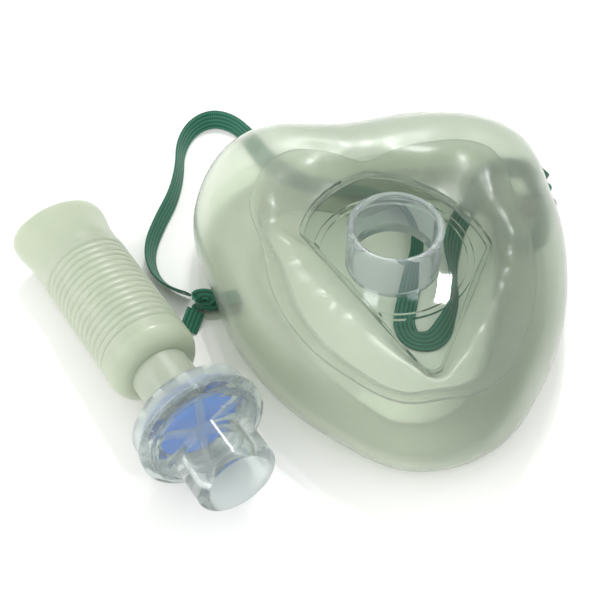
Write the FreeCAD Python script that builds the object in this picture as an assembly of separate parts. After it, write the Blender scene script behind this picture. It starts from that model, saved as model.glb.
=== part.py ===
"""Mouth-to-mask resuscitator: inflatable face mask, head strap, one-way valve and mouthpiece.

Millimetres, +Z up. The mask lies face down with its 22 mm port pointing up. The origin is
the foot of the port's axis on the surface that the mask rests on. The nose end is towards
-Y and the chin end towards +Y. The valve and its mouthpiece lie beside the mask, at -X.
Profiles of the round valve parts are lists of (radius, height) points, where height runs
along the valve's own axis from the mouthpiece towards the outlet.
"""
import FreeCAD, Part
import math
import os

from FreeCAD import Placement, Rotation, Vector

# ---- face mask ---------------------------------------------------------------
NOSE_LOBE = (2.6, -13.0)     # centres of the soft ring's three lobes
RIGHT_LOBE = (20.8, 28.9)
LEFT_LOBE = (-20.2, 33.3)
NOSE_LOBE_R = 28.5           # radius of the ring's centre line round each lobe
RIGHT_LOBE_R = 23.8
LEFT_LOBE_R = 20.5
RING_WIDTH = 26.0
RING_HEIGHT = 31.0
FILM = 0.8                   # wall of the inflated ring and of the dome film
FILM_GAP = 0.05              # left at the welds between the ring, the film and the plate

PLATE_Z = 28.2               # underside of the rigid plate
PLATE_THICK = 1.6
PLATE_LEFT = (-24.0, 13.5)
PLATE_TOP = (-1.0, 34.0)
PLATE_RIGHT = (28.0, 1.0)
PLATE_NOSE = (3.0, -42.5)
PLATE_LEFT_BOW = (-14.5, 27.5)
PLATE_RIGHT_BOW = (18.0, 22.5)
PLATE_CORNER_R = 3.0
RIB_RADIUS = 22.0            # raised round step on the plate, about the port
RIB_WIDTH = 1.8
RIB_RISE = 0.9
PLATE_INSET_SCALE = 0.95     # the step and the film's window against the plate's outline

PORT_OUTER_R = 13.0
PORT_BORE_R = 11.0           # 22 mm female breathing-system port
PORT_RISE = 12.6             # port above the plate's upper face
PORT_ROUND = 0.8

# ---- valve and mouthpiece, along the valve's axis ---------------------------
VALVE_FOOT = (-56.0, -41.4)  # under the centre of the outlet housing's front face
VALVE_HEADING = -66.0        # degrees from +X, the way the outlet points
FLANGE_R = 17.6
FLANGE_BACK = -3.0
SKIRT_R = 16.6
CHAMBER_R = 14.8
SPIGOT_R = 7.3
SPIGOT_BORE_R = 5.8
SPIGOT_TIP = -25.0
OUTLET_R = 11.0              # 22 mm male outlet
OUTLET_BORE_R = 7.65         # 15 mm female bore of the same outlet
OUTLET_TIP = 17.0
BACK_PLATE = -9.6            # rear face of the vented plate behind the exhale flap
INNER_WALL_R = 11.4          # wall between the inhale and exhale passages
INLET_R = 10.5               # widest bore behind the inhale flap
VENT_COUNT = 12
VENT_R = 12.0                # inner end of each vent slot
VENT_DEPTH = 2.2
VENT_WIDTH = 2.6
SEAT_BACK = -5.8
SEAT_FRONT = -4.4
GUARD_BACK = -1.8
GUARD_FRONT = -0.6
SEAT_HUB_R = 2.4
SEAT_HOLE_R = 1.1            # the inhale flap's stem goes through it
INHALE_PORT_R = 9.6
LAND_R = 11.8                # ring that both flaps close on
EXHALE_PORT_R = 13.6
ARM_COUNT = 6
SEAT_ARM_WIDTH = 1.4
EXHALE_ARM_WIDTH = 1.2
GUARD_ARM_WIDTH = 1.8
GUARD_HUB_R = 2.8
GUARD_RIM_R = 13.2
INHALE_FLAP_R = 10.8
EXHALE_FLAP_INNER_R = 11.5
EXHALE_FLAP_OUTER_R = 14.3
STEM_R = 1.0
BULB_R = 1.9
OVERLAP = 0.4                # how far fused pieces run into each other
FLAP_GAP = 0.05              # between a closed flap and its seat
FLAP_THICK = 0.6
RUNNING_CLEARANCE = 0.05     # radial, between parts that turn or pull apart

NECK_R = 8.2
NECK_START = -12.6
TUBE_R = 12.8
TUBE_WALL = 1.3
TUBE_SHOULDER = -25.0
TUBE_FULL = -29.5            # where the shoulder reaches the tube's full radius
RINGS_START = -34.0
RING_PITCH = 2.4
RING_COUNT = 14
RING_DEPTH = 0.35
RING_LEAD = 0.8              # slope from the plain tube into its first and last ring
TUBE_END = -71.0
LIP_PLUG_LENGTH = 7.0
LIP_WALL = 1.5
LIP_STATIONS = [             # distance behind the tube's end, half width, half height
    (0.1, 12.3, 12.29), (5.1, 12.6, 12.0), (13.1, 13.6, 10.2), (19.0, 14.0, 9.0), (21.0, 13.3, 8.3),
]

# ---- strap --------------------------------------------------------------------
STRAP_R = 3.2                # the cord stands for a 6.4 mm wide flat elastic
STRAP_GROOVE = 0.3           # room round the strap where the soft ring lies over it
CHANNEL_BELOW = 1.0          # how far a strap channel starts below the table
KNOT_R = 4.2
KNOT_LENGTH = 9.0
TAIL_R = 2.4
TAB_THICK = 1.0
TAB_LENGTH = 13.0
TAB_WIDTH = 10.0
TAB_HOLE_R = 2.2
TAB_CORNER_R = 4.0
RUN_SHARE = 0.45             # share of a run that each of its two bends may use
LEFT_TAB = (-47.5, 14.0)
LEFT_TAB_HEADING = 180.0
RIGHT_TAB = (55.5, 40.0)
RIGHT_TAB_HEADING = 18.0
LEFT_KNOT = (-53.4, 13.5, 5.0)
RIGHT_KNOT = (60.0, 42.0, 5.0)
LEFT_TAIL = [(-54.5, 10.5, 3.6), (-57.5, 5.0, 2.8)]
RIGHT_TAIL = [
    (60.0, 38.5, 3.6), (57.5, 29.5, 2.6), (52.5, 22.5, 2.6), (46.5, 23.5, 2.6),
    (44.0, 30.0, 2.6), (43.0, 36.0, 2.6),
]
STRAP_ROUTE = [
    (59.5, 46.0, 4.0), (57.5, 53.0, 3.2), (50.0, 56.5, 3.2), (42.5, 54.0, 3.2),
    (38.5, 46.5, 3.2), (32.5, 39.5, 3.2), (27.5, 31.5, 3.2), (24.0, 22.5, 3.2),
    (22.4, 13.5, 3.2), (21.0, 5.0, 3.2), (17.6, -2.9, 3.2), (12.2, -9.2, 3.2),
    (6.0, -8.0, 3.2), (4.3, -1.8, 3.2), (6.8, 5.2, 3.2), (10.2, 14.0, 3.2),
    (14.0, 24.2, 3.2), (16.2, 34.4, 3.2), (13.4, 44.6, 3.2), (5.2, 51.6, 3.2),
    (-5.0, 55.5, 3.2), (-14.0, 58.5, 3.2), (-22.0, 64.0, 3.2), (-27.0, 72.0, 3.2),
    (-30.5, 80.5, 3.2), (-35.0, 88.5, 3.2), (-42.0, 92.0, 3.2), (-49.0, 88.0, 3.2),
    (-53.5, 79.0, 3.2), (-54.5, 68.0, 3.2), (-57.5, 57.0, 3.2), (-62.5, 47.0, 3.2),
    (-66.5, 36.5, 3.2), (-66.0, 27.0, 3.2), (-61.5, 20.0, 3.4), (-56.5, 17.0, 4.0),
]


def point(at, z=0.0):
    """A vector from an (x, y) pair and a height, or from an (x, y, z) triple."""
    return Vector(*at) if len(at) == 3 else Vector(at[0], at[1], z)


def save(name, shape):
    """Write one node's STEP file and print its volume."""
    shape.exportStep(os.path.join("parts", name + ".step"))
    print(f"{name:20s} valid={shape.isValid()} solids={len(shape.Solids)} volume={shape.Volume:.0f}")


def revolve(profile, rounds=()):
    """Turn a closed (radius, height) outline round Z, then round the named heights' edges."""
    points = [Vector(r, 0, h) for r, h in profile]
    face = Part.Face(Part.makePolygon(points + points[:1]))
    solid = face.revolve(Vector(), Vector(0, 0, 1), 360)
    for radius, height, fillet in rounds:
        solid = solid.makeFillet(fillet, circle_edges(solid, radius, height))
    return solid


def circle_edges(solid, radius, height):
    """The full-circle edges of a turned solid at one radius and height."""
    close = 1e-4
    return [
        edge for edge in solid.Edges
        if isinstance(edge.Curve, Part.Circle)
        and abs(edge.Curve.Radius - radius) < close
        and abs(edge.Curve.Center.z - height) < close
    ]


def ring(inner, outer, low, high):
    """A flat washer about Z."""
    washer = Part.makeCylinder(outer, high - low, Vector(0, 0, low))
    return washer.cut(Part.makeCylinder(inner, high - low, Vector(0, 0, low)))


def spokes(count, length, width, low, high):
    """Straight arms from the axis outwards, evenly spaced."""
    arm = Part.makeBox(length, width, high - low, Vector(0, -width / 2, low))
    arms = [arm.copy() for _ in range(count)]
    for index, copy in enumerate(arms):
        copy.rotate(Vector(), Vector(0, 0, 1), index * 360 / count)
    return arms[0].multiFuse(arms[1:])


# ---- mask ------------------------------------------------------------------------
def lobe_centres():
    """The three lobes of the ring's plan, counter-clockwise from the nose."""
    return [
        (point(NOSE_LOBE), NOSE_LOBE_R),
        (point(RIGHT_LOBE), RIGHT_LOBE_R),
        (point(LEFT_LOBE), LEFT_LOBE_R),
    ]


def outer_tangent(first, second):
    """The points where a line touches two circles, both on the line's left."""
    (start, start_r), (end, end_r) = first, second
    along = end - start
    heading = math.atan2(along.y, along.x)
    lean = math.asin((start_r - end_r) / along.Length)
    normal = Vector(math.sin(heading + lean), -math.cos(heading + lean), 0)
    return start + normal * start_r, end + normal * end_r


def lobed_outline(offset, z):
    """The ring's centre line moved outwards by offset: three arcs and three tangent lines."""
    lobes = [(centre, radius + offset) for centre, radius in lobe_centres()]
    lines = [outer_tangent(lobes[i], lobes[(i + 1) % 3]) for i in range(3)]
    edges = []
    for i, (centre, radius) in enumerate(lobes):
        arrive = lines[i - 1][1]
        leave = lines[i][0]
        middle = (arrive - centre) + (leave - centre)
        crest = centre + middle.normalize() * radius
        edges.append(Part.Arc(arrive, crest, leave).toShape())
        edges.append(Part.makeLine(*lines[i]))
    wire = Part.Wire(edges)
    wire.translate(Vector(0, 0, z))
    return wire


def ring_sweep(half_width, half_height):
    """A closed soft tube of elliptical section along the ring's centre line."""
    spine = lobed_outline(0, RING_HEIGHT / 2)
    last_line = spine.OrderedEdges[-1]
    start = spine.OrderedVertexes[0].Point
    along = last_line.tangentAt(last_line.LastParameter)
    across = along.cross(Vector(0, 0, 1))
    big, small, axis = half_height, half_width, Vector(0, 0, 1)
    section = Part.Ellipse(start + axis * big, start + across * small, start).toShape()
    return spine.makePipeShell([Part.Wire(section)], True, False)


def channel(route, half_width, top):
    """An upright-walled trench along a route, from below the table up to a height."""
    path = rounded_path([(x, y, 0) for x, y, _ in route])[0]
    start = path.OrderedEdges[0]
    foot = start.valueAt(start.FirstParameter)
    side = start.tangentAt(start.FirstParameter).cross(Vector(0, 0, 1)) * half_width
    low, high = Vector(0, 0, -CHANNEL_BELOW), Vector(0, 0, top)
    corners = [foot + side + low, foot + side + high, foot - side + high, foot - side + low]
    return path.makePipeShell([Part.makePolygon(corners + corners[:1])], True, False)


def plate_notch(gap):
    """Room for the plate where its nose end lies in the ring's top."""
    slab = plate_blank(PLATE_Z - gap, PLATE_THICK)
    flat = min(slab.Faces, key=lambda face: face.CenterOfMass.z)
    return flat.makeOffset2D(gap).extrude(Vector(0, 0, RING_HEIGHT - PLATE_Z + gap))


def dented_ring(inset):
    """The ring drawn in by inset, with dents for the strap, its right tail and the plate."""
    solid = ring_sweep(RING_WIDTH / 2 - inset, RING_HEIGHT / 2 - inset)
    room = STRAP_GROOVE + inset
    solid = solid.cut(channel(STRAP_ROUTE, STRAP_R + room, 2 * STRAP_R + room))
    solid = solid.cut(channel(RIGHT_TAIL, TAIL_R + room, 2 * TAIL_R + room))
    return solid.cut(plate_notch(FILM_GAP + inset))


def face_cushion():
    """The hollow inflated ring: one skin outside, the air's room inside."""
    return dented_ring(0).cut(dented_ring(FILM))


def dome_film():
    """The flat film that joins the ring's top to the plate's edge."""
    film_edge = ring_offset_at(PLATE_Z - FILM) - FILM_GAP
    film = Part.Face(lobed_outline(film_edge, PLATE_Z - FILM)).extrude(Vector(0, 0, FILM))
    return film.cut(plate_inset(PLATE_Z - FILM, FILM))


def ring_offset_at(z):
    """How far inside its centre line the ring's inner wall is at a height."""
    rise = (z - RING_HEIGHT / 2) / (RING_HEIGHT / 2)
    return -RING_WIDTH / 2 * math.sqrt(1 - rise * rise)


def plate_outline(z):
    """The rigid plate's four-cornered outline: two bowed chin edges and two straight ones."""
    left, top, right, nose = (point(p, z) for p in (PLATE_LEFT, PLATE_TOP, PLATE_RIGHT, PLATE_NOSE))
    return Part.Wire([
        Part.Arc(left, point(PLATE_LEFT_BOW, z), top).toShape(),
        Part.Arc(top, point(PLATE_RIGHT_BOW, z), right).toShape(),
        Part.makeLine(right, nose),
        Part.makeLine(nose, left),
    ])


def plate_blank(z, thick):
    """The plate's outline as a slab with rounded corners."""
    slab = Part.Face(plate_outline(z)).extrude(Vector(0, 0, thick))
    corners = [e for e in slab.Edges if abs(e.tangentAt(e.FirstParameter).z) > 0.99]
    return slab.makeFillet(PLATE_CORNER_R, corners)


def plate_inset(z, thick):
    """A slab of the plate's outline, drawn in to leave the bare edge outside it."""
    slab = plate_blank(z, thick)
    centre = slab.BoundBox.Center
    slab.scale(PLATE_INSET_SCALE, Vector(centre.x, centre.y, z))
    flat = min(slab.Faces, key=lambda face: face.CenterOfMass.z)
    return flat.extrude(Vector(0, 0, thick))


def mask_plate():
    """The rigid plate with its port hole and the raised round step."""
    top = PLATE_Z + PLATE_THICK
    plate = plate_blank(PLATE_Z, PLATE_THICK)
    step = ring(RIB_RADIUS - RIB_WIDTH, RIB_RADIUS, top, top + RIB_RISE)
    step = step.common(plate_inset(top, RIB_RISE))
    hole = Part.makeCylinder(PORT_OUTER_R, PLATE_THICK, Vector(0, 0, PLATE_Z))
    return plate.fuse(step).removeSplitter().cut(hole)


def port_collar():
    """The upright 22 mm female port, bonded into the plate's hole."""
    rim = PLATE_Z + PLATE_THICK + PORT_RISE
    return revolve(
        [(PORT_BORE_R, PLATE_Z), (PORT_OUTER_R, PLATE_Z), (PORT_OUTER_R, rim), (PORT_BORE_R, rim)],
        [(PORT_OUTER_R, rim, PORT_ROUND), (PORT_BORE_R, rim, PORT_ROUND)],
    )


# ---- valve ------------------------------------------------------------------------
def inlet_housing():
    """Rear half of the valve: spigot, vented back plate, inner wall and skirt."""
    corner_r = SKIRT_R - 1.6
    body = revolve(
        [
            (SPIGOT_BORE_R, SPIGOT_TIP), (SPIGOT_R, SPIGOT_TIP), (SPIGOT_R, BACK_PLATE - 2.0),
            (SPIGOT_R + 1.3, BACK_PLATE - 1.0), (corner_r, BACK_PLATE), (SKIRT_R, BACK_PLATE + 1.6),
            (SKIRT_R, FLANGE_BACK), (CHAMBER_R, FLANGE_BACK), (CHAMBER_R, BACK_PLATE + 1.4),
            (INNER_WALL_R, BACK_PLATE + 1.2), (INNER_WALL_R, SEAT_BACK), (INLET_R, SEAT_BACK),
            (INLET_R, BACK_PLATE + 0.6), (SPIGOT_BORE_R, BACK_PLATE - 0.6),
        ],
        [(corner_r, BACK_PLATE, 0.6), (SKIRT_R, BACK_PLATE + 1.6, 0.6)],
    )
    through = 3.0
    corner = Vector(VENT_R, -VENT_WIDTH / 2, BACK_PLATE - 1.0)
    vents = [Part.makeBox(VENT_DEPTH, VENT_WIDTH, through, corner) for _ in range(VENT_COUNT)]
    for index, slot in enumerate(vents):
        slot.rotate(Vector(), Vector(0, 0, 1), index * 360 / VENT_COUNT)
    return body.cut(vents)


def outlet_housing():
    """Front half of the valve: flange, stepped front and the 22/15 mm outlet."""
    step_r = FLANGE_R - 2.0
    inner_r = CHAMBER_R - 1.2
    neck = 4.4
    return revolve(
        [
            (CHAMBER_R, FLANGE_BACK), (FLANGE_R, FLANGE_BACK), (FLANGE_R, 0.0), (step_r, 0.0),
            (step_r - 0.4, 1.6), (OUTLET_R + 1.6, 2.8), (OUTLET_R, neck), (OUTLET_R, OUTLET_TIP),
            (OUTLET_BORE_R, OUTLET_TIP), (OUTLET_BORE_R, neck - 0.6), (OUTLET_R - 0.4, 1.4),
            (inner_r, 0.6), (inner_r, GUARD_FRONT), (CHAMBER_R, GUARD_FRONT),
        ],
        [(FLANGE_R, 0.0, 1.0), (FLANGE_R, FLANGE_BACK, 0.6), (OUTLET_R, OUTLET_TIP, 1.4),
         (OUTLET_BORE_R, OUTLET_TIP, 1.2)],
    )


def valve_seat():
    """Spoked disc that both flaps close on, with inner inhale and outer exhale ports."""
    web = spokes(ARM_COUNT, INHALE_PORT_R + OVERLAP, SEAT_ARM_WIDTH, SEAT_BACK, SEAT_FRONT)
    hub = ring(SEAT_HOLE_R, SEAT_HUB_R, SEAT_BACK, SEAT_FRONT)
    tie_length = EXHALE_PORT_R + OVERLAP
    ties = spokes(2 * ARM_COUNT, tie_length, EXHALE_ARM_WIDTH, SEAT_BACK, SEAT_FRONT)
    ties = ties.common(ring(LAND_R - OVERLAP, tie_length, SEAT_BACK, SEAT_FRONT))
    land = ring(INHALE_PORT_R, LAND_R, SEAT_BACK, SEAT_FRONT)
    rim = ring(EXHALE_PORT_R, CHAMBER_R, SEAT_BACK, SEAT_FRONT)
    seat = land.multiFuse([web, hub, ties, rim]).removeSplitter()
    return seat.cut(Part.makeCylinder(SEAT_HOLE_R, SEAT_FRONT - SEAT_BACK, Vector(0, 0, SEAT_BACK)))


def diaphragm_guard():
    """Spider in front of the inhale flap that stops it from blowing out."""
    rim = ring(GUARD_RIM_R, CHAMBER_R, GUARD_BACK, GUARD_FRONT)
    arms = spokes(ARM_COUNT, GUARD_RIM_R + OVERLAP, GUARD_ARM_WIDTH, GUARD_BACK, GUARD_FRONT)
    hub = Part.makeCylinder(GUARD_HUB_R, GUARD_FRONT - GUARD_BACK, Vector(0, 0, GUARD_BACK))
    return rim.multiFuse([arms, hub]).removeSplitter()


def inhale_flap():
    """Soft disc with a stem and bulb that hold it in the seat's hub."""
    back = SEAT_FRONT + FLAP_GAP
    front = back + FLAP_THICK
    stem_end = SEAT_BACK - 1.5
    return revolve([
        (0, front), (INHALE_FLAP_R, front), (INHALE_FLAP_R, back), (STEM_R, back), (STEM_R, stem_end),
        (BULB_R, stem_end - 0.4), (STEM_R, stem_end - 1.4), (0, stem_end - 1.4),
    ])


def exhale_flap():
    """Soft ring behind the seat's outer ports, which lifts to let breath out of the vents."""
    front = SEAT_BACK - FLAP_GAP
    return ring(EXHALE_FLAP_INNER_R, EXHALE_FLAP_OUTER_R, front - FLAP_THICK, front)


# ---- mouthpiece --------------------------------------------------------------------
def ringed_wall():
    """The tube's fine rings in section: one shallow outward arc for each."""
    valley_r = TUBE_R - RING_DEPTH
    arcs = []
    for i in range(RING_COUNT):
        near = RINGS_START - i * RING_PITCH
        far = near - RING_PITCH
        crest = Vector(TUBE_R, 0, (near + far) / 2)
        arcs.append(Part.Arc(Vector(valley_r, 0, near), crest, Vector(valley_r, 0, far)).toShape())
    return arcs, Vector(valley_r, 0, RINGS_START), Vector(valley_r, 0, far)


def mouthpiece_tube():
    """Milky tube: a narrow neck for the valve's spigot, a round shoulder and a ringed body."""
    bore = SPIGOT_R + RUNNING_CLEARANCE
    inner = TUBE_R - TUBE_WALL
    rings, first, last = ringed_wall()
    shoulder_mid = Vector(TUBE_R - 1.4, 0, TUBE_SHOULDER - 1.2)
    corners = [
        Vector(TUBE_R, 0, TUBE_FULL), Vector(NECK_R, 0, TUBE_SHOULDER + 0.6),
        Vector(NECK_R, 0, NECK_START), Vector(bore, 0, NECK_START),
        Vector(bore, 0, TUBE_SHOULDER - 0.8), Vector(inner, 0, TUBE_FULL - 0.6),
        Vector(inner, 0, TUBE_END), Vector(TUBE_R, 0, TUBE_END),
        Vector(TUBE_R, 0, last.z - RING_LEAD), last,
    ]
    lead = Vector(TUBE_R, 0, RINGS_START + RING_LEAD)
    edges = rings + [
        Part.makeLine(first, lead), Part.makeLine(lead, corners[0]),
        Part.Arc(corners[0], shoulder_mid, corners[1]).toShape(),
    ]
    edges += [Part.makeLine(a, b) for a, b in zip(corners[1:], corners[2:])]
    outline = Part.Wire(Part.__sortEdges__(edges))
    return Part.Face(outline).revolve(Vector(), Vector(0, 0, 1), 360)


def oval(height, wide, thick):
    """One oval section of the lip piece, its long side level with the table."""
    wide_is_long = wide > thick
    long_axis = Vector(0, wide, 0) if wide_is_long else Vector(thick, 0, 0)
    short_axis = Vector(thick, 0, 0) if wide_is_long else Vector(0, wide, 0)
    centre = Vector(0, 0, height)
    return Part.Wire(Part.Ellipse(centre + long_axis, centre + short_axis, centre).toShape())


def mouthpiece_lip():
    """Flared oval end that the lips close round, plugged into the tube."""
    stations = [(TUBE_END - back, wide, tall) for back, wide, tall in LIP_STATIONS]
    outside = Part.makeLoft([oval(*s) for s in stations], True)
    inside = Part.makeLoft([oval(h, w - LIP_WALL, t - LIP_WALL) for h, w, t in stations], True)
    plug_r = TUBE_R - TUBE_WALL - RUNNING_CLEARANCE
    plug = ring(plug_r - LIP_WALL, plug_r, stations[0][0], stations[0][0] + LIP_PLUG_LENGTH)
    return outside.cut(inside).fuse(plug).removeSplitter()


def lay_valve(shape):
    """Lay a part built about Z on the table beside the mask, resting on flange and tube."""
    tilt = math.atan((FLANGE_R - TUBE_R) / (FLANGE_BACK - TUBE_END))
    height = FLANGE_R * math.cos(tilt) - FLANGE_BACK * math.sin(tilt)
    lay = Rotation(Vector(0, 1, 0), 90 - math.degrees(tilt))
    turn = Rotation(Vector(0, 0, 1), VALVE_HEADING)
    placed = shape.copy()
    placed.Placement = Placement(point(VALVE_FOOT, height), turn.multiply(lay))
    return placed


# ---- strap ------------------------------------------------------------------------
def rounded_path(route):
    """Straight runs joined by the largest tangent arcs that the shorter run allows."""
    points = [point(p) for p in route]
    edges, radii, pen = [], [], points[0]
    for before, corner, after in zip(points, points[1:], points[2:]):
        back, ahead = (before - corner), (after - corner)
        reach = RUN_SHARE * min(back.Length, ahead.Length)
        half_turn = (math.pi - back.getAngle(ahead)) / 2
        radius = reach / math.tan(half_turn)
        start = corner + back.normalize() * reach
        end = corner + ahead.normalize() * reach
        inward = (back + ahead).normalize()
        crest = corner + inward * (radius / math.cos(half_turn) - radius)
        edges += [Part.makeLine(pen, start), Part.Arc(start, crest, end).toShape()]
        radii.append(radius)
        pen = end
    edges.append(Part.makeLine(pen, points[-1]))
    return Part.Wire(edges), radii


def tube_along(path, radius):
    """A round solid swept along a path."""
    start = path.OrderedEdges[0]
    section = Part.makeCircle(radius, start.valueAt(start.FirstParameter),
                              start.tangentAt(start.FirstParameter))
    return path.makePipeShell([Part.Wire(section)], True, True)


def knot(centre):
    """A compact overhand knot as one rounded barrel on its side."""
    start = point(centre) - Vector(KNOT_LENGTH / 2, 0, 0)
    barrel = Part.makeCylinder(KNOT_R, KNOT_LENGTH, start, Vector(1, 0, 0))
    return barrel.makeFillet(KNOT_R * 0.6, [e for e in barrel.Edges if e.isClosed()][:2])


def strap_tab(centre, heading, knot_solid):
    """Film ear welded to the ring's lower seam, with a hole for the strap."""
    tab = Part.makeBox(TAB_LENGTH, TAB_WIDTH, TAB_THICK, Vector(-TAB_LENGTH / 2, -TAB_WIDTH / 2, 0))
    upright = [e for e in tab.Edges if abs(e.tangentAt(e.FirstParameter).z) > 0.99]
    tab = tab.makeFillet(TAB_CORNER_R, upright)
    hole = Part.makeCylinder(TAB_HOLE_R, TAB_THICK, Vector(TAB_LENGTH / 5, 0, 0))
    tab = tab.cut(hole)
    tab.rotate(Vector(), Vector(0, 0, 1), heading)
    tab.translate(point(centre))
    return tab.cut(knot_solid)


def build():
    """Make every node and write it."""
    os.makedirs("parts", exist_ok=True)
    path, radii = rounded_path(STRAP_ROUTE)
    strap = tube_along(path, STRAP_R)
    left_knot, right_knot = knot(LEFT_KNOT), knot(RIGHT_KNOT)
    left_tail, right_tail = rounded_path(LEFT_TAIL)[0], rounded_path(RIGHT_TAIL)[0]
    print("strap arc radii:", " ".join(f"{r:.1f}" for r in radii))
    print(f"strap length {path.Length:.1f}, volume {strap.Volume:.0f}, "
          f"section times length {math.pi * STRAP_R ** 2 * path.Length:.0f}")
    save("face_cushion", face_cushion())
    save("dome_film", dome_film())
    save("mask_plate", mask_plate())
    save("port_collar", port_collar())
    save("head_strap", strap.cut(left_knot).cut(right_knot))
    save("strap_knot_left", left_knot)
    save("strap_knot_right", right_knot)
    save("strap_tab_left", strap_tab(LEFT_TAB, LEFT_TAB_HEADING, left_knot))
    save("strap_tab_right", strap_tab(RIGHT_TAB, RIGHT_TAB_HEADING, right_knot))
    save("strap_tail_left", tube_along(left_tail, TAIL_R).cut(left_knot))
    save("strap_tail_right", tube_along(right_tail, TAIL_R).cut(right_knot))
    valve_parts = (inlet_housing, outlet_housing, valve_seat, diaphragm_guard, inhale_flap,
                   exhale_flap, mouthpiece_tube, mouthpiece_lip)
    for make in valve_parts:
        save(make.__name__, lay_valve(make()))


build()
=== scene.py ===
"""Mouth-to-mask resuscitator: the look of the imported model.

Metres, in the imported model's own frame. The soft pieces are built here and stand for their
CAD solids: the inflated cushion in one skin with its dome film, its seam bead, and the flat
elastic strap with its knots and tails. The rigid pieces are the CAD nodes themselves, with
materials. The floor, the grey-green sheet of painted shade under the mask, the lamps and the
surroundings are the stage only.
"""
import math

import bpy
import numpy as np
from mathutils import Euler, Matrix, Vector


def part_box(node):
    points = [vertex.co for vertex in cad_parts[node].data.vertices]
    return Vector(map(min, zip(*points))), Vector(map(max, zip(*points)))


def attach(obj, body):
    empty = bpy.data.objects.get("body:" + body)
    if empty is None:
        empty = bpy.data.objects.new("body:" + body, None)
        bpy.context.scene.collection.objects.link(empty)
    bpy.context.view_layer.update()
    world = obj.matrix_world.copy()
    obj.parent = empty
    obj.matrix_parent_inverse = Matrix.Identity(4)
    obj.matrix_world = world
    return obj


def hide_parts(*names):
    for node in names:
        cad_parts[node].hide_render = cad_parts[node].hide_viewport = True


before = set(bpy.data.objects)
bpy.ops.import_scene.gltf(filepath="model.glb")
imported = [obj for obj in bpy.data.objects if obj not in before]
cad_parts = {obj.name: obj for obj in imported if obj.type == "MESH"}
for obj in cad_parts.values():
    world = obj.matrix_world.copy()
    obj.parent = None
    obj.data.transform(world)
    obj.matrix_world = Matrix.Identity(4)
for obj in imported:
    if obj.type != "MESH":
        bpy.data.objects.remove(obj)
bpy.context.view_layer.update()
MM = 0.001

# ---- camera and light ------------------------------------------------------------
CAMERA_AIM = Vector((-23.7, 12.8, 0.0)) * MM     # where the middle of the view meets the table
CAMERA_DISTANCE = 355.4 * MM
CAMERA_HEADING = 8.4                             # degrees from +Y towards +X
CAMERA_ELEVATION = 51.0
CAMERA_LENS = 72.0
CAMERA_NEAR = 0.01
FLOOR_HALF = 3.0
FLOOR_LEVEL = -0.05 * MM                         # just below the sheet of painted shade and the object
# a grey-green sheet of painted shade under the mask, tinted like a table, seen only through the film
SHADE_SHEET_LEVEL = -0.02 * MM
SHADE_SHEET_INSET = 2.5                                  # mm inside the mask's outline
SHADE_SHEET_SHIFT = 6.0                                  # mm away from the camera
WHITE_PAPER = ((0.93, 0.93, 0.92), (0.92, 0.92, 0.91))
SHADE_SHEET_TONES = ((0.70, 0.75, 0.66), (0.69, 0.74, 0.65))
SKY_STRENGTH = 1.0
SKY_TONES = [                                    # by the Y part of the direction
    (0.4, (1.0, 1.0, 0.99)),
    (0.95, (0.5, 0.53, 0.49)),
]
LAMP_DISTANCE = 1.2
WINDOW_LAMPS = [                                 # heading, elevation, width, height, watts
    ("window_left", 11.9, 52.1, 0.040, 0.023, 3.2),
    ("window_right", 19.4, 51.2, 0.036, 0.034, 1.6),
    ("window_far", -4.0, 51.5, 0.050, 0.036, 1.6),
]
SOFT_LAMPS = [
    ("soft_left", -95.0, 28.0, 1.1, 0.7, 4.6),
    ("soft_right", 95.0, 32.0, 1.1, 0.8, 1.2),
    ("soft_front", -165.0, 25.0, 1.2, 0.7, 3.4),
]

# ---- cushion, in millimetres --------------------------------------------------------
CUSHION_CENTRE = (2.0, 2.0)
CUSHION_REACH = [                                # from the centre, every 24 degrees from +X
    50.0, 58.0, 71.5, 67.5, 62.6, 73.2, 66.0, 52.6, 48.0, 47.1, 49.6, 55.8, 55.1, 49.3, 47.7,
]
CUSHION_COLUMNS = 360                            # points round the mask
CUSHION_ANGLES = np.linspace(0, 2 * math.pi, CUSHION_COLUMNS, endpoint=False)
OUTLINE_NORMALS = 1440                           # directions tried to find the plate's outline
LEAST_LEAN = 0.05                                # cosine below which a direction is left out
UNDER_PLATE = 1.6                                # the film runs this far under the plate's edge
CREST_HEIGHT = 31.5
CREST_INSET = 25.5                               # crest line inside the widest line, at most
CREST_SHARE = 0.72                               # the same, as a share of the width to the plate
CREST_BREADTH = 0.9                              # below 1 makes the crest broader
WIDEST_HEIGHT = 11.0
FOOT_INSET = 9.0                                 # where the film reaches the table
OPENING_INSET = 19.0                             # edge of the face opening
WALL_BULGE = 4.5                                 # how far the inner wall swells towards the face
WELD_GAP = 0.5                                   # between the films' middles at the weld
WELD_INSET = (13.0, 9.5, 3.5)                    # terms that give 7 at the nose, 13 beside, 26 at the chin
VALLEY_DEPTH = 0.9                               # dip of the film over the weld
VALLEY_WIDTH = 5.5
SWELLS = [(11, 0.3, 0.4), (17, 0.2, 2.1), (5, 0.4, 1.0)]     # waves round the crest, height, phase
SWELL_BREADTH = 0.6                              # share of the crest's inset
SLOPE_ROWS = 16                                  # rows of points from the plate to the crest
SHOULDER_ROWS = 30                               # crest to widest line
FOOT_ROWS = 14                                   # widest line to table
SOLE_ROWS = 5                                    # along the table
WALL_ROWS = 24                                   # face opening to weld
SKIN_ROWS = SLOPE_ROWS + SHOULDER_ROWS
FILM_THICK = 0.4
SEAM_RADIUS = 0.3
SEAM_HEIGHT = 5.0
SEAM_SIDES = 8

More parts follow.
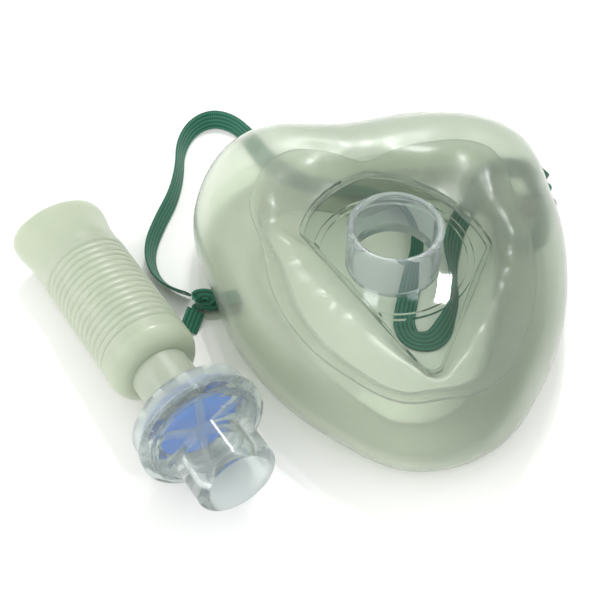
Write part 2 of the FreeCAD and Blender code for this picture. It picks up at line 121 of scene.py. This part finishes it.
# ---- strap -------------------------------------------------------------------------
STRAP_WIDTH = 6.4 * MM
STRAP_THICK = 0.9 * MM
STRAP_RIBS = 5
RIB_POINTS = 6                                   # points across one rib
RIB_VALLEY = 0.55                                # thickness between ribs, as a share
EDGE_SQUARENESS = 8                              # a higher power makes a squarer edge
ROUTE_STEPS = 12                                 # points per control point of a route
KNOT_TIGHTNESS = 0.8                             # share of the CAD knot's size
KNOT_POINTS = 97
KNOT_MARGIN = 1.6 * MM                           # between the knot's centre line and its box
KNOT_LIFT = 0.8 * MM
KNOT_SCALE = 0.52                                # the elastic is squeezed in the knot
KNOT_INWARD = {"left": 1.6 * MM, "right": 3.4 * MM}
TAIL_SCALE = 0.9
TAIL_DROP = 0.3                                  # share of the width that a loose end sinks
TAIL_LEANS = {"left": math.radians(35), "right": math.radians(12)}
LOOP_LEAN = math.radians(8)                      # the stretch between the left knot and its tab
STRAP_ROUTE = [                                  # control points of the strap's centre line
    (0.0595, 0.0460, 0.0040), (0.0575, 0.0530, 0.0032), (0.0500, 0.0565, 0.0032),
    (0.0425, 0.0540, 0.0032), (0.0385, 0.0465, 0.0032), (0.0325, 0.0395, 0.0032),
    (0.0275, 0.0315, 0.0032), (0.0240, 0.0225, 0.0032), (0.0224, 0.0135, 0.0032),
    (0.0210, 0.0050, 0.0032), (0.0176, -0.0029, 0.0032), (0.0122, -0.0092, 0.0032),
    (0.0060, -0.0080, 0.0032), (0.0043, -0.0018, 0.0032), (0.0068, 0.0052, 0.0032),
    (0.0102, 0.0140, 0.0032), (0.0140, 0.0242, 0.0032), (0.0162, 0.0344, 0.0032),
    (0.0134, 0.0446, 0.0032), (0.0052, 0.0516, 0.0032), (-0.0050, 0.0555, 0.0032),
    (-0.0140, 0.0585, 0.0032), (-0.0220, 0.0640, 0.0032), (-0.0270, 0.0720, 0.0032),
    (-0.0305, 0.0805, 0.0032), (-0.0350, 0.0885, 0.0032), (-0.0420, 0.0920, 0.0032),
    (-0.0490, 0.0880, 0.0032), (-0.0535, 0.0790, 0.0032), (-0.0545, 0.0680, 0.0032),
    (-0.0575, 0.0570, 0.0032), (-0.0625, 0.0470, 0.0032), (-0.0665, 0.0365, 0.0032),
    (-0.0660, 0.0270, 0.0032), (-0.0615, 0.0200, 0.0034), (-0.0565, 0.0170, 0.0040),
]
TAIL_ROUTES = {
    "left": [(-0.0545, 0.0105, 0.0036), (-0.0560, 0.0078, 0.0032), (-0.0575, 0.0050, 0.0028)],
    "right": [
        (0.0580, 0.0385, 0.0036), (0.0550, 0.0295, 0.0026), (0.0510, 0.0225, 0.0026),
        (0.0460, 0.0235, 0.0026), (0.0440, 0.0300, 0.0026), (0.0430, 0.0360, 0.0026),
    ],
}
LEFT_LOOP = [(-0.0530, 0.0135, 0.0030), (-0.0480, 0.0138, 0.0024), (-0.0415, 0.0150, 0.0022)]
STRAP_LEAN = [                                   # share of the length, degrees from flat
    (0.0, 60), (0.05, 35), (0.12, 15), (0.17, 30), (0.22, 62), (0.26, 58), (0.30, 12), (0.34, -6),
    (0.37, -16), (0.42, -52), (0.47, -50), (0.53, -15), (0.58, 8), (0.64, 30), (0.70, 66),
    (0.80, 70), (0.90, 66), (1.0, 58),
]

# ---- colours and clear plastics ------------------------------------------------------
MOTTLE_FROM = 0.35                               # noise values between which two tones blend
MOTTLE_TO = 0.65
# film tones: mostly painted light (pale) and painted shade (deep) laid across the film, with a little
# random mottle
FILM_SHADED_TONE = (0.72, 0.77, 0.69)
FILM_LIT_TONE = (0.90, 0.94, 0.86)
FILM_SHADE_DIRECTION = (0.95, 0.31, 0.0)                 # direction in which the film is painted deeper: painted shade on the +X side, painted light on the -X side
FILM_SHADE_FROM = -50.0 * MM
FILM_SHADE_TO = 35.0 * MM
FILM_SHADE_WEIGHT = 0.85                             # weight of that painted light and shade against the mottling
MILKY_TONES = ((0.475, 0.535, 0.405), (0.445, 0.505, 0.385))
BLUE_TONES = ((0.04, 0.30, 1.0), (0.03, 0.24, 0.95))
# elastic tones: random knit tone, and painted shade that darkens the grooves between the ribs
ELASTIC_TONES = [(0.15, (0.004, 0.055, 0.030)), (0.9, (0.034, 0.230, 0.145))]
WAVE_PITCH = math.pi / 10                        # spacing of a wave texture's bands at scale 1
CLEAR_PLASTICS = {
    "clear_plate": {
        "light": (0.90, 0.94, 0.91), "dark": (0.88, 0.92, 0.89), "Roughness": 0.0, "IOR": 1.14,
        "Transmission_Weight": 1.0, "Coat_Weight": 0.4, "Coat_Roughness": 0.02,
    },
    "clear_port": {
        "light": (0.76, 0.81, 0.83), "dark": (0.73, 0.78, 0.81), "Roughness": 0.01, "IOR": 1.12,
        "Transmission_Weight": 0.88, "Coat_Weight": 0.15, "Coat_Roughness": 0.15,
    },
    "valve_clear": {
        "light": (0.80, 0.85, 0.84), "dark": (0.78, 0.83, 0.82), "Roughness": 0.14, "IOR": 1.12,
        "Transmission_Weight": 0.93, "Coat_Weight": 0.35, "Coat_Roughness": 0.12,
    },
    "valve_frosted": {
        "light": (0.82, 0.87, 0.85), "dark": (0.80, 0.85, 0.83), "Roughness": 0.34, "IOR": 1.1,
        "Transmission_Weight": 0.84, "Coat_Weight": 0.3, "Coat_Roughness": 0.2,
    },
}
CLEAR_NODES = {
    "clear_plate": ["mask_plate"],
    "clear_port": ["port_collar"],
    "valve_clear": ["outlet_housing", "valve_seat", "diaphragm_guard"],
    "valve_frosted": ["inlet_housing"],
}


# ---- helpers ------------------------------------------------------------------------
def direction(heading, elevation):
    """Unit vector from the object, heading in degrees from +Y towards +X."""
    turn, rise = math.radians(heading), math.radians(elevation)
    return Vector((math.sin(turn) * math.cos(rise), math.cos(turn) * math.cos(rise), math.sin(rise)))


def ease(t):
    """A smooth step from 0 to 1."""
    return t * t * (3 - 2 * t)


def round_curve(values, count):
    """A closed smooth curve through evenly spaced values."""
    closed = np.array(values[-2:] + values + values[:3], float)
    at = np.linspace(0, len(values), count, endpoint=False)
    k = at.astype(int) + 1
    t = at % 1
    before, here, after, next_after = closed[k], closed[k + 1], closed[k + 2], closed[k + 3]
    return 0.5 * (2 * here + (after - before) * t
                  + (2 * before - 5 * here + 4 * after - next_after) * t ** 2
                  + (3 * here - before - 3 * after + next_after) * t ** 3)


def around(centre, radius):
    """X and Y at a radius in each of the cushion's directions."""
    return centre[0] + radius * np.cos(CUSHION_ANGLES), centre[1] + radius * np.sin(CUSHION_ANGLES)


def run_along(line):
    """Length of a line up to each of its points."""
    return np.concatenate([[0], np.cumsum(np.linalg.norm(np.diff(line, axis=0), axis=1))])


def level_side(ahead):
    """Unit directions level with the table and square to the given ones."""
    side = np.cross(ahead, (0, 0, 1))
    return side / np.linalg.norm(side, axis=1)[:, None]


def mesh_piece(name, points, faces, material):
    """A smooth-shaded mesh object that rides the mask."""
    mesh = bpy.data.meshes.new(name)
    mesh.from_pydata([tuple(p) for p in points], [], faces)
    mesh.polygons.foreach_set("use_smooth", [True] * len(mesh.polygons))
    mesh.materials.append(material)
    piece = bpy.data.objects.new(name, mesh)
    bpy.context.scene.collection.objects.link(piece)
    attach(piece, "mask")
    return piece


def grid_faces(columns, rows, closed_columns, closed_rows):
    """Quads of a grid whose points run row by row within each column."""
    faces = []
    for i in range(columns if closed_columns else columns - 1):
        for j in range(rows if closed_rows else rows - 1):
            a, b = i * rows, ((i + 1) % columns) * rows
            k = (j + 1) % rows
            faces.append((a + j, b + j, b + k, a + k))
    return faces


def closed_bead(name, line, radius, material):
    """A thin round bead along a closed line."""
    ahead = np.roll(line, -1, 0) - np.roll(line, 1, 0)
    ahead /= np.linalg.norm(ahead, axis=1)[:, None]
    side = level_side(ahead)
    up = np.cross(side, ahead)
    turns = np.linspace(0, 2 * math.pi, SEAM_SIDES, endpoint=False)
    rings = [line + radius * (math.cos(a) * side + math.sin(a) * up) for a in turns]
    points = np.stack(rings, 1).reshape(-1, 3)
    return mesh_piece(name, points, grid_faces(len(line), SEAM_SIDES, True, True), material)


# ---- materials ------------------------------------------------------------------------
def new_material(name, **settings):
    """A Principled material and its shader node, with constants set on its own sockets."""
    material = bpy.data.materials.new(name)
    material.use_nodes = True
    shader = material.node_tree.nodes["Principled BSDF"]
    for socket, value in settings.items():
        shader.inputs[socket.replace("_", " ")].default_value = value
    return material, shader


def add_node(material, kind, **settings):
    """One shader node; a setting is an input, its spaces written as underscores, or a property."""
    node = material.node_tree.nodes.new(kind)
    for key, value in settings.items():
        socket = key.replace("_", " ")
        if socket in node.inputs:
            node.inputs[socket].default_value = value
        else:
            setattr(node, key, value)
    return node


def link(material, source, output, target, entry):
    """Join one node's output to another node's input."""
    material.node_tree.links.new(source.outputs[output], target.inputs[entry])


def tone_ramp(material, tones):
    """A blend from one tone to another; tones holds two pairs of position and colour."""
    ramp = add_node(material, "ShaderNodeValToRGB")
    for stop, (position, tone) in zip(ramp.color_ramp.elements, tones):
        stop.position = position
        stop.color = (*tone, 1)
    return ramp


def grain(material, shader, scale, detail, strength, distance):
    """A fine noise bump on the shader's normal."""
    place = add_node(material, "ShaderNodeTexCoord")
    noise = add_node(material, "ShaderNodeTexNoise", Scale=scale, Detail=detail)
    bump = add_node(material, "ShaderNodeBump", Strength=strength, Distance=distance)
    link(material, place, "Object", noise, "Vector")
    link(material, noise, "Fac", bump, "Height")
    link(material, bump, "Normal", shader, "Normal")


def mottle(material, shader, high, low, scale):
    """Base colour that drifts between two close tones; gives back its noise and its ramp."""
    place = add_node(material, "ShaderNodeTexCoord")
    noise = add_node(material, "ShaderNodeTexNoise", Scale=scale, Detail=3.0)
    ramp = tone_ramp(material, [(MOTTLE_FROM, low), (MOTTLE_TO, high)])
    link(material, place, "Object", noise, "Vector")
    link(material, noise, "Fac", ramp, "Fac")
    link(material, ramp, "Color", shader, "Base Color")
    return noise, ramp


def paint_shade_along(material, noise, ramp):
    """Drive a mottled colour mostly by the place along one direction, as painted light and shade that even
    out the lamps' light across the film, and a little by its noise.
    """
    place = add_node(material, "ShaderNodeTexCoord")
    along = add_node(material, "ShaderNodeVectorMath", operation="DOT_PRODUCT")
    along.inputs[1].default_value = FILM_SHADE_DIRECTION
    painted_shade_range = add_node(material, "ShaderNodeMapRange",
                         From_Min=FILM_SHADE_FROM, From_Max=FILM_SHADE_TO)
    blend = add_node(material, "ShaderNodeMix", Factor=FILM_SHADE_WEIGHT)
    link(material, place, "Object", along, "Vector")
    link(material, along, "Value", painted_shade_range, "Value")
    link(material, noise, "Fac", blend, "A")
    link(material, painted_shade_range, "Result", blend, "B")
    link(material, blend, "Result", ramp, "Fac")


def film_material():
    """Frosted soft PVC film: faint green-grey, blurs what lies behind it; its colour carries painted light
    towards -X and painted shade towards +X.
    """
    material, shader = new_material(
        "frosted_film", Roughness=0.22, IOR=1.13, Transmission_Weight=0.9,
        Coat_Weight=0.6, Coat_Roughness=0.27, Coat_IOR=1.36)
    noise, ramp = mottle(material, shader, FILM_SHADED_TONE, FILM_LIT_TONE, scale=60.0)
    # painted light and shade across the film
    paint_shade_along(material, noise, ramp)
    grain(material, shader, scale=900.0, detail=4.0, strength=0.12, distance=0.0002)
    return material


def clear_material(name, light, dark, **settings):
    """Moulded clear plastic with a faint tint and slight flow marks."""
    material, shader = new_material(name, **settings)
    mottle(material, shader, light, dark, scale=45.0)
    grain(material, shader, scale=70.0, detail=2.0, strength=0.03, distance=0.0003)
    return material


def milky_material():
    """Milky polyethylene: soft, scatters light, shows a little light from inside."""
    material, shader = new_material(
        "milky_plastic", Roughness=0.38, IOR=1.45, Subsurface_Weight=0.8, Subsurface_Scale=0.005,
        Transmission_Weight=0.2, Coat_Weight=0.2, Coat_Roughness=0.2)
    shader.inputs["Subsurface Radius"].default_value = (1.0, 1.0, 0.85)
    mottle(material, shader, *MILKY_TONES, scale=50.0)
    grain(material, shader, scale=500.0, detail=3.0, strength=0.1, distance=0.0002)
    return material


def blue_material():
    """Soft blue silicone."""
    material, shader = new_material(
        "blue_silicone", Roughness=0.3, Subsurface_Weight=0.3, Subsurface_Scale=0.002,
        Transmission_Weight=0.15)
    mottle(material, shader, *BLUE_TONES, scale=120.0)
    grain(material, shader, scale=400.0, detail=2.0, strength=0.08, distance=0.0002)
    return material


def elastic_material():
    """Dark green ribbed elastic: rubber cores under crosswise knitted yarn. The rib bands paint the
    grooves between the ribs darker: painted shade.
    """
    material, shader = new_material("green_elastic", Roughness=0.72, Sheen_Weight=0.35,
                                    Sheen_Roughness=0.4)
    place = add_node(material, "ShaderNodeUVMap", uv_map="along")
    knit = add_node(material, "ShaderNodeTexWave", wave_type="BANDS", bands_direction="X",
                    Scale=0.5, Distortion=1.2, Detail=2.0, Detail_Scale=1.5)
    fibres = add_node(material, "ShaderNodeTexNoise", Scale=6.0, Detail=4.0)
    # rib bands, lighter on the ribs and darker in the grooves: painted shade in the colour, and the bump
    ribs = add_node(material, "ShaderNodeTexWave", wave_type="BANDS", bands_direction="Y",
                    Scale=WAVE_PITCH * STRAP_RIBS * MM / STRAP_WIDTH, Phase_Offset=math.pi)
    ramp = tone_ramp(material, ELASTIC_TONES)
    yarn = add_node(material, "ShaderNodeMix", Factor=0.45)
    yarn_and_rib_shade = add_node(material, "ShaderNodeMix", Factor=0.5)
    bump = add_node(material, "ShaderNodeBump", Strength=0.6, Distance=0.0003)
    for texture in (knit, fibres, ribs):
        link(material, place, "UV", texture, "Vector")
    link(material, knit, "Fac", yarn, "A")
    link(material, fibres, "Fac", yarn, "B")
    link(material, yarn, "Result", yarn_and_rib_shade, "A")
    link(material, ribs, "Fac", yarn_and_rib_shade, "B")
    link(material, yarn_and_rib_shade, "Result", ramp, "Fac")
    link(material, yarn_and_rib_shade, "Result", bump, "Height")
    link(material, ramp, "Color", shader, "Base Color")
    link(material, bump, "Normal", shader, "Normal")
    return material


def paper_material(name, tones):
    """Plain matt paper."""
    material, shader = new_material(name, Roughness=0.85)
    mottle(material, shader, *tones, scale=3.0)
    return material


def paint(material, names):
    """Give CAD nodes a material."""
    for name in names:
        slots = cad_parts[name].data.materials
        slots.clear()
        slots.append(material)


# ---- stage -------------------------------------------------------------------------------
def add_camera():
    """The camera, aimed at CAMERA_AIM."""
    camera = bpy.data.objects.new("camera", bpy.data.cameras.new("camera"))
    look = direction(CAMERA_HEADING, -CAMERA_ELEVATION)
    camera.location = CAMERA_AIM - look * CAMERA_DISTANCE
    camera.rotation_euler = Euler((math.radians(90 - CAMERA_ELEVATION), 0, -math.radians(CAMERA_HEADING)))
    camera.data.lens = CAMERA_LENS
    camera.data.clip_start = CAMERA_NEAR
    bpy.context.scene.collection.objects.link(camera)
    bpy.context.scene.camera = camera


def add_lamp(name, heading, elevation, width, height, watts):
    """A rectangular lamp that faces the object."""
    data = bpy.data.lights.new(name, "AREA")
    data.shape = "RECTANGLE"
    data.size, data.size_y = width, height
    data.energy = watts
    lamp = bpy.data.objects.new(name, data)
    out = direction(heading, elevation)
    lamp.location = out * LAMP_DISTANCE
    lamp.rotation_euler = out.to_track_quat("Z", "Y").to_euler()
    bpy.context.scene.collection.objects.link(lamp)


def studio_world():
    """Soft white surroundings that are dimmer behind the object."""
    world = bpy.data.worlds.new("studio")
    world.use_nodes = True
    place = add_node(world, "ShaderNodeTexCoord")
    parts = add_node(world, "ShaderNodeSeparateXYZ")
    ramp = tone_ramp(world, SKY_TONES)
    background = world.node_tree.nodes["Background"]
    background.inputs["Strength"].default_value = SKY_STRENGTH
    link(world, place, "Generated", parts, "Vector")
    link(world, parts, "Y", ramp, "Fac")
    link(world, ramp, "Color", background, "Color")
    return world


def stage_sheet(name, outline, level, material):
    """A flat sheet that belongs to the studio, not to the object."""
    mesh = bpy.data.meshes.new(name)
    mesh.from_pydata([(x, y, level) for x, y in outline], [], [tuple(range(len(outline)))])
    mesh.materials.append(material)
    sheet = bpy.data.objects.new(name, mesh)
    bpy.context.scene.collection.objects.link(sheet)


def shade_sheet_outline():
    """The mask's outline, a little smaller and moved away from the camera, for the sheet of painted shade.
    """
    away = direction(CAMERA_HEADING, 0) * SHADE_SHEET_SHIFT
    centre = (CUSHION_CENTRE[0] + away.x, CUSHION_CENTRE[1] + away.y)
    return np.stack(around(centre, round_curve(CUSHION_REACH, CUSHION_COLUMNS) - SHADE_SHEET_INSET), -1) * MM


def add_stage():
    """White floor, a grey-green sheet of painted shade under the mask, soft white surroundings, and the
    lamps.
    """
    corners = [(x * FLOOR_HALF, y * FLOOR_HALF) for x, y in ((-1, -1), (1, -1), (1, 1), (-1, 1))]
    stage_sheet("floor", corners, FLOOR_LEVEL, paper_material("white_paper", WHITE_PAPER))
    # painted shade under the mask, seen through the film
    stage_sheet("painted_shade_sheet", shade_sheet_outline(), SHADE_SHEET_LEVEL, paper_material("painted_shade_paper", SHADE_SHEET_TONES))
    bpy.context.scene.world = studio_world()
    bpy.context.scene.view_settings.view_transform = "Standard"
    for lamp in WINDOW_LAMPS + SOFT_LAMPS:
        add_lamp(*lamp)


# ---- cushion --------------------------------------------------------------------------------
def plate_reach(centre):
    """How far the plate's rounded outline reaches in each of the cushion's directions."""
    vertices = np.array([v.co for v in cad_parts["mask_plate"].data.vertices]) / MM
    normals = np.linspace(0, 2 * math.pi, OUTLINE_NORMALS, endpoint=False)
    arrows = np.stack([np.cos(normals), np.sin(normals)])
    support = ((vertices[:, :2] - centre) @ arrows).max(0)
    lean = np.cos(CUSHION_ANGLES[:, None] - normals[None, :])
    away = np.where(lean > LEAST_LEAN, support / np.maximum(lean, LEAST_LEAN), np.inf)
    return away.min(1)


def section_part(radius, height):
    """One stretch of every section: an array of radius and height, by row and column."""
    return np.stack(np.broadcast_arrays(radius, height))


def shares(rows):
    """Evenly spaced shares from 0 up to, but without, 1, one to a row."""
    return np.linspace(0, 1, rows, endpoint=False)[:, None]


def slope_part(plate, crest, plate_level):
    """From under the plate's edge up to the crest."""
    t = shares(SLOPE_ROWS)
    start = plate - UNDER_PLATE
    return section_part(start + (crest - start) * t,
                        plate_level + (CREST_HEIGHT - plate_level) * ease(t))


def shoulder_part(widest, inset):
    """From the crest down to the widest line, fuller than an ellipse."""
    turn = math.pi / 2 * (1 - shares(SHOULDER_ROWS))
    return section_part(widest - inset * (1 - np.cos(turn) ** CREST_BREADTH),
                        WIDEST_HEIGHT + (CREST_HEIGHT - WIDEST_HEIGHT) * np.sin(turn) ** CREST_BREADTH)


def foot_part(widest):
    """From the widest line down to the table."""
    turn = math.pi / 2 * shares(FOOT_ROWS)
    return section_part(widest - FOOT_INSET * (1 - np.cos(turn)), WIDEST_HEIGHT * (1 - np.sin(turn)))


def sole_part(widest, opening):
    """Along the table to the edge of the face opening."""
    t = shares(SOLE_ROWS)
    return section_part(widest - FOOT_INSET + (opening + FOOT_INSET - widest) * t, 0.0)


def wall_part(opening, weld, weld_height):
    """The rounded inner wall, from the face opening up to the weld."""
    t = np.linspace(0, 1, WALL_ROWS)[:, None]
    return section_part(opening + (weld - opening) * t - WALL_BULGE * np.sin(math.pi * t),
                        (weld_height - WELD_GAP - VALLEY_DEPTH) * (1 - np.cos(math.pi * t)) / 2)


def skin_waves(radius, crest, inset, weld):
    """Height that soft waves add near the crest, less the valley over the weld."""
    swell = sum(size * np.sin(waves * CUSHION_ANGLES + phase) for waves, size, phase in SWELLS)
    near_crest = np.exp(-((radius - crest) / (SWELL_BREADTH * inset)) ** 2)
    dip = VALLEY_DEPTH * np.exp(-((radius - weld) / VALLEY_WIDTH) ** 2)
    return swell * near_crest - dip


def cushion_section(widest, plate, chinward, plate_level):
    """Radius and height along every section, from under the plate's edge out, down and back in."""
    inset = np.minimum(CREST_INSET, CREST_SHARE * (widest - plate))
    crest = widest - inset
    opening = widest - OPENING_INSET
    weld = widest - WELD_INSET[0] - WELD_INSET[1] * chinward - WELD_INSET[2] * chinward ** 2
    skin = np.concatenate([slope_part(plate, crest, plate_level), shoulder_part(widest, inset)], axis=1)
    weld_height = np.array([np.interp(*column) for column in zip(weld, *skin.transpose(0, 2, 1))])
    parts = [skin, foot_part(widest), sole_part(widest, opening), wall_part(opening, weld, weld_height)]
    radius, height = np.concatenate(parts, axis=1)
    height[:SKIN_ROWS] += skin_waves(radius, crest, inset, weld)[:SKIN_ROWS]
    return radius, np.maximum(height, 0.5 * FILM_THICK)


def cushion_points():
    """The cushion's skin in metres, as an array: column, row, xyz."""
    centre = np.array(CUSHION_CENTRE)
    widest = round_curve(CUSHION_REACH, CUSHION_COLUMNS)
    plate_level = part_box("mask_plate")[0].z / MM - 0.5 * FILM_THICK
    radius, height = cushion_section(widest, plate_reach(centre), np.sin(CUSHION_ANGLES), plate_level)
    return np.stack([*around(centre, radius), height], -1).transpose(1, 0, 2) * MM


def add_cushion(material):
    """The inflated cushion and dome film in one skin, with its welded seam bead."""
    points = cushion_points()
    columns, rows = points.shape[:2]
    faces = grid_faces(columns, rows, True, False)
    cushion = mesh_piece("mask_cushion", points.reshape(-1, 3), faces, material)
    thickness = cushion.modifiers.new("film", "SOLIDIFY")
    thickness.thickness = FILM_THICK * MM
    thickness.offset = 0.0
    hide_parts("face_cushion", "dome_film")
    foot_heights = points[0, SKIN_ROWS:SKIN_ROWS + FOOT_ROWS, 2]
    seam_row = SKIN_ROWS + np.argmin(np.abs(foot_heights - SEAM_HEIGHT * MM))
    closed_bead("cushion_seam", points[:, seam_row], SEAM_RADIUS * MM, material)


# ---- strap ------------------------------------------------------------------------------------
def route_points(name, controls):
    """Points on the smooth spline whose control points are a route's points."""
    data = bpy.data.curves.new(name, "CURVE")
    data.dimensions = "3D"
    data.resolution_u = ROUTE_STEPS
    spline = data.splines.new("NURBS")
    spline.points.add(len(controls) - 1)
    for point, place in zip(spline.points, controls):
        point.co = (*place, 1.0)
    spline.order_u = 3
    spline.use_endpoint_u = True
    line = bpy.data.objects.new(name, data)
    mesh = bpy.data.meshes.new_from_object(line)
    points = np.array([v.co for v in mesh.vertices])
    bpy.data.objects.remove(line)
    bpy.data.meshes.remove(mesh)
    return points


def ribbon_section():
    """Closed outline of the flat elastic's section: two faces with rounded ribs."""
    across = np.linspace(-1, 1, RIB_POINTS * STRAP_RIBS + 1)
    ribs = np.abs(np.cos(across * STRAP_RIBS * math.pi / 2))
    edge = np.sqrt(np.clip(1 - across ** EDGE_SQUARENESS, 0, 1))
    thick = (RIB_VALLEY + (1 - RIB_VALLEY) * ribs) * edge
    top = np.stack([across, thick], -1)
    bottom = np.stack([across, -thick], -1)[::-1][1:-1]
    return np.concatenate([top, bottom]) * (STRAP_WIDTH / 2, STRAP_THICK / 2)


def map_along(piece, line, section):
    """Lay the texture's millimetres along and across a ribbon."""
    run = run_along(line) / MM
    rows = len(section)
    corners = [loop.vertex_index for loop in piece.data.loops]
    places = [(run[i // rows], section[i % rows, 0] / MM) for i in corners]
    layer = piece.data.uv_layers.new(name="along")
    layer.data.foreach_set("uv", np.array(places, np.float32).ravel())


def ribbon(name, line, leans, material, scale=1.0):
    """A flat elastic along a line, leaning about it by an angle at each point."""
    ahead = np.gradient(line, axis=0)
    ahead /= np.linalg.norm(ahead, axis=1)[:, None]
    side = level_side(ahead)
    up = np.cross(side, ahead)
    wide = np.cos(leans)[:, None] * side + np.sin(leans)[:, None] * up
    thin = np.cross(wide, ahead)
    section = ribbon_section() * scale
    rings = line[:, None] + section[None, :, :1] * wide[:, None] + section[None, :, 1:] * thin[:, None]
    rings[..., 2] = np.maximum(rings[..., 2], 0)    # nothing sinks below the table
    columns, rows = rings.shape[:2]
    faces = grid_faces(columns, rows, False, True)
    faces += [tuple(range(rows))[::-1], tuple(range((columns - 1) * rows, columns * rows))]
    piece = mesh_piece(name, rings.reshape(-1, 3), faces, material)
    map_along(piece, line, section)
    return piece


def smooth_lean(at):
    """Lean along the strap, eased between its listed values."""
    stations, degrees = np.array(STRAP_LEAN, float).T
    k = np.clip(np.searchsorted(stations, at, side="right") - 1, 0, len(stations) - 2)
    t = np.clip((at - stations[k]) / (stations[k + 1] - stations[k]), 0, 1)
    return np.radians(degrees[k] + (degrees[k + 1] - degrees[k]) * ease(t))


def strap_path():
    """The strap's own centre line, let down to rest on the table, its leans and its length."""
    line = route_points("strap_route", STRAP_ROUTE)
    run = run_along(line)
    leans = smooth_lean(run / run[-1])
    half_height = (STRAP_WIDTH * np.abs(np.sin(leans)) + STRAP_THICK * np.abs(np.cos(leans))) / 2
    line[:, 2] += half_height - STRAP_WIDTH / 2
    return line, leans, run[-1]


def knot_line(side):
    """A trefoil turn, sized and placed by a CAD knot's box."""
    low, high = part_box(f"strap_knot_{side}")
    turn = np.linspace(0, 2 * math.pi, KNOT_POINTS)
    loop = np.stack([np.sin(3 * turn), np.cos(turn) - 2 * np.cos(2 * turn),
                     np.sin(turn) + 2 * np.sin(2 * turn)], -1)
    room = (np.array((high - low) / 2) - KNOT_MARGIN) * KNOT_TIGHTNESS
    middle = np.array((low + high) / 2)
    middle[0] -= math.copysign(KNOT_INWARD[side], middle[0])
    middle[2] = low.z + room[2] + KNOT_LIFT
    return middle + loop / np.abs(loop).max(0) * room


def add_knot(side, material):
    """The knot at one end of the strap."""
    turns = np.linspace(0, math.pi, KNOT_POINTS)
    knot = ribbon(f"strap_knot_{side}_loop", knot_line(side), turns, material, scale=KNOT_SCALE)
    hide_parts(f"strap_knot_{side}")
    return knot


def add_tail(side, material):
    """The loose end behind a knot."""
    lean = TAIL_LEANS[side]
    line = route_points(f"tail_route_{side}", TAIL_ROUTES[side])
    line[:, 2] -= STRAP_WIDTH * math.cos(lean) * TAIL_DROP * np.linspace(0, 1, len(line))
    tail = ribbon(f"strap_tail_{side}_end", line, np.full(len(line), lean), material, scale=TAIL_SCALE)
    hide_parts(f"strap_tail_{side}")
    return tail


def add_strap(material):
    """The elastic strap with its knots, its loose tails and the stretch behind the left knot."""
    line, leans, length = strap_path()
    strap = ribbon("elastic_strap", line, leans, material)
    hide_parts("head_strap")
    extras = []
    for side in ("left", "right"):
        extras += [add_knot(side, material), add_tail(side, material)]
    hidden = route_points("loop_route", LEFT_LOOP)
    extras.append(ribbon("strap_loop_left", hidden, np.full(len(hidden), LOOP_LEAN), material))


# ---- build -------------------------------------------------------------------------------------
add_camera()
add_stage()
film = film_material()
add_strap(elastic_material())
add_cushion(film)
for plastic, settings in CLEAR_PLASTICS.items():
    paint(clear_material(plastic, **settings), CLEAR_NODES[plastic])
paint(blue_material(), ["inhale_flap", "exhale_flap"])
paint(milky_material(), ["mouthpiece_tube", "mouthpiece_lip"])
paint(film, ["strap_tab_left", "strap_tab_right"])
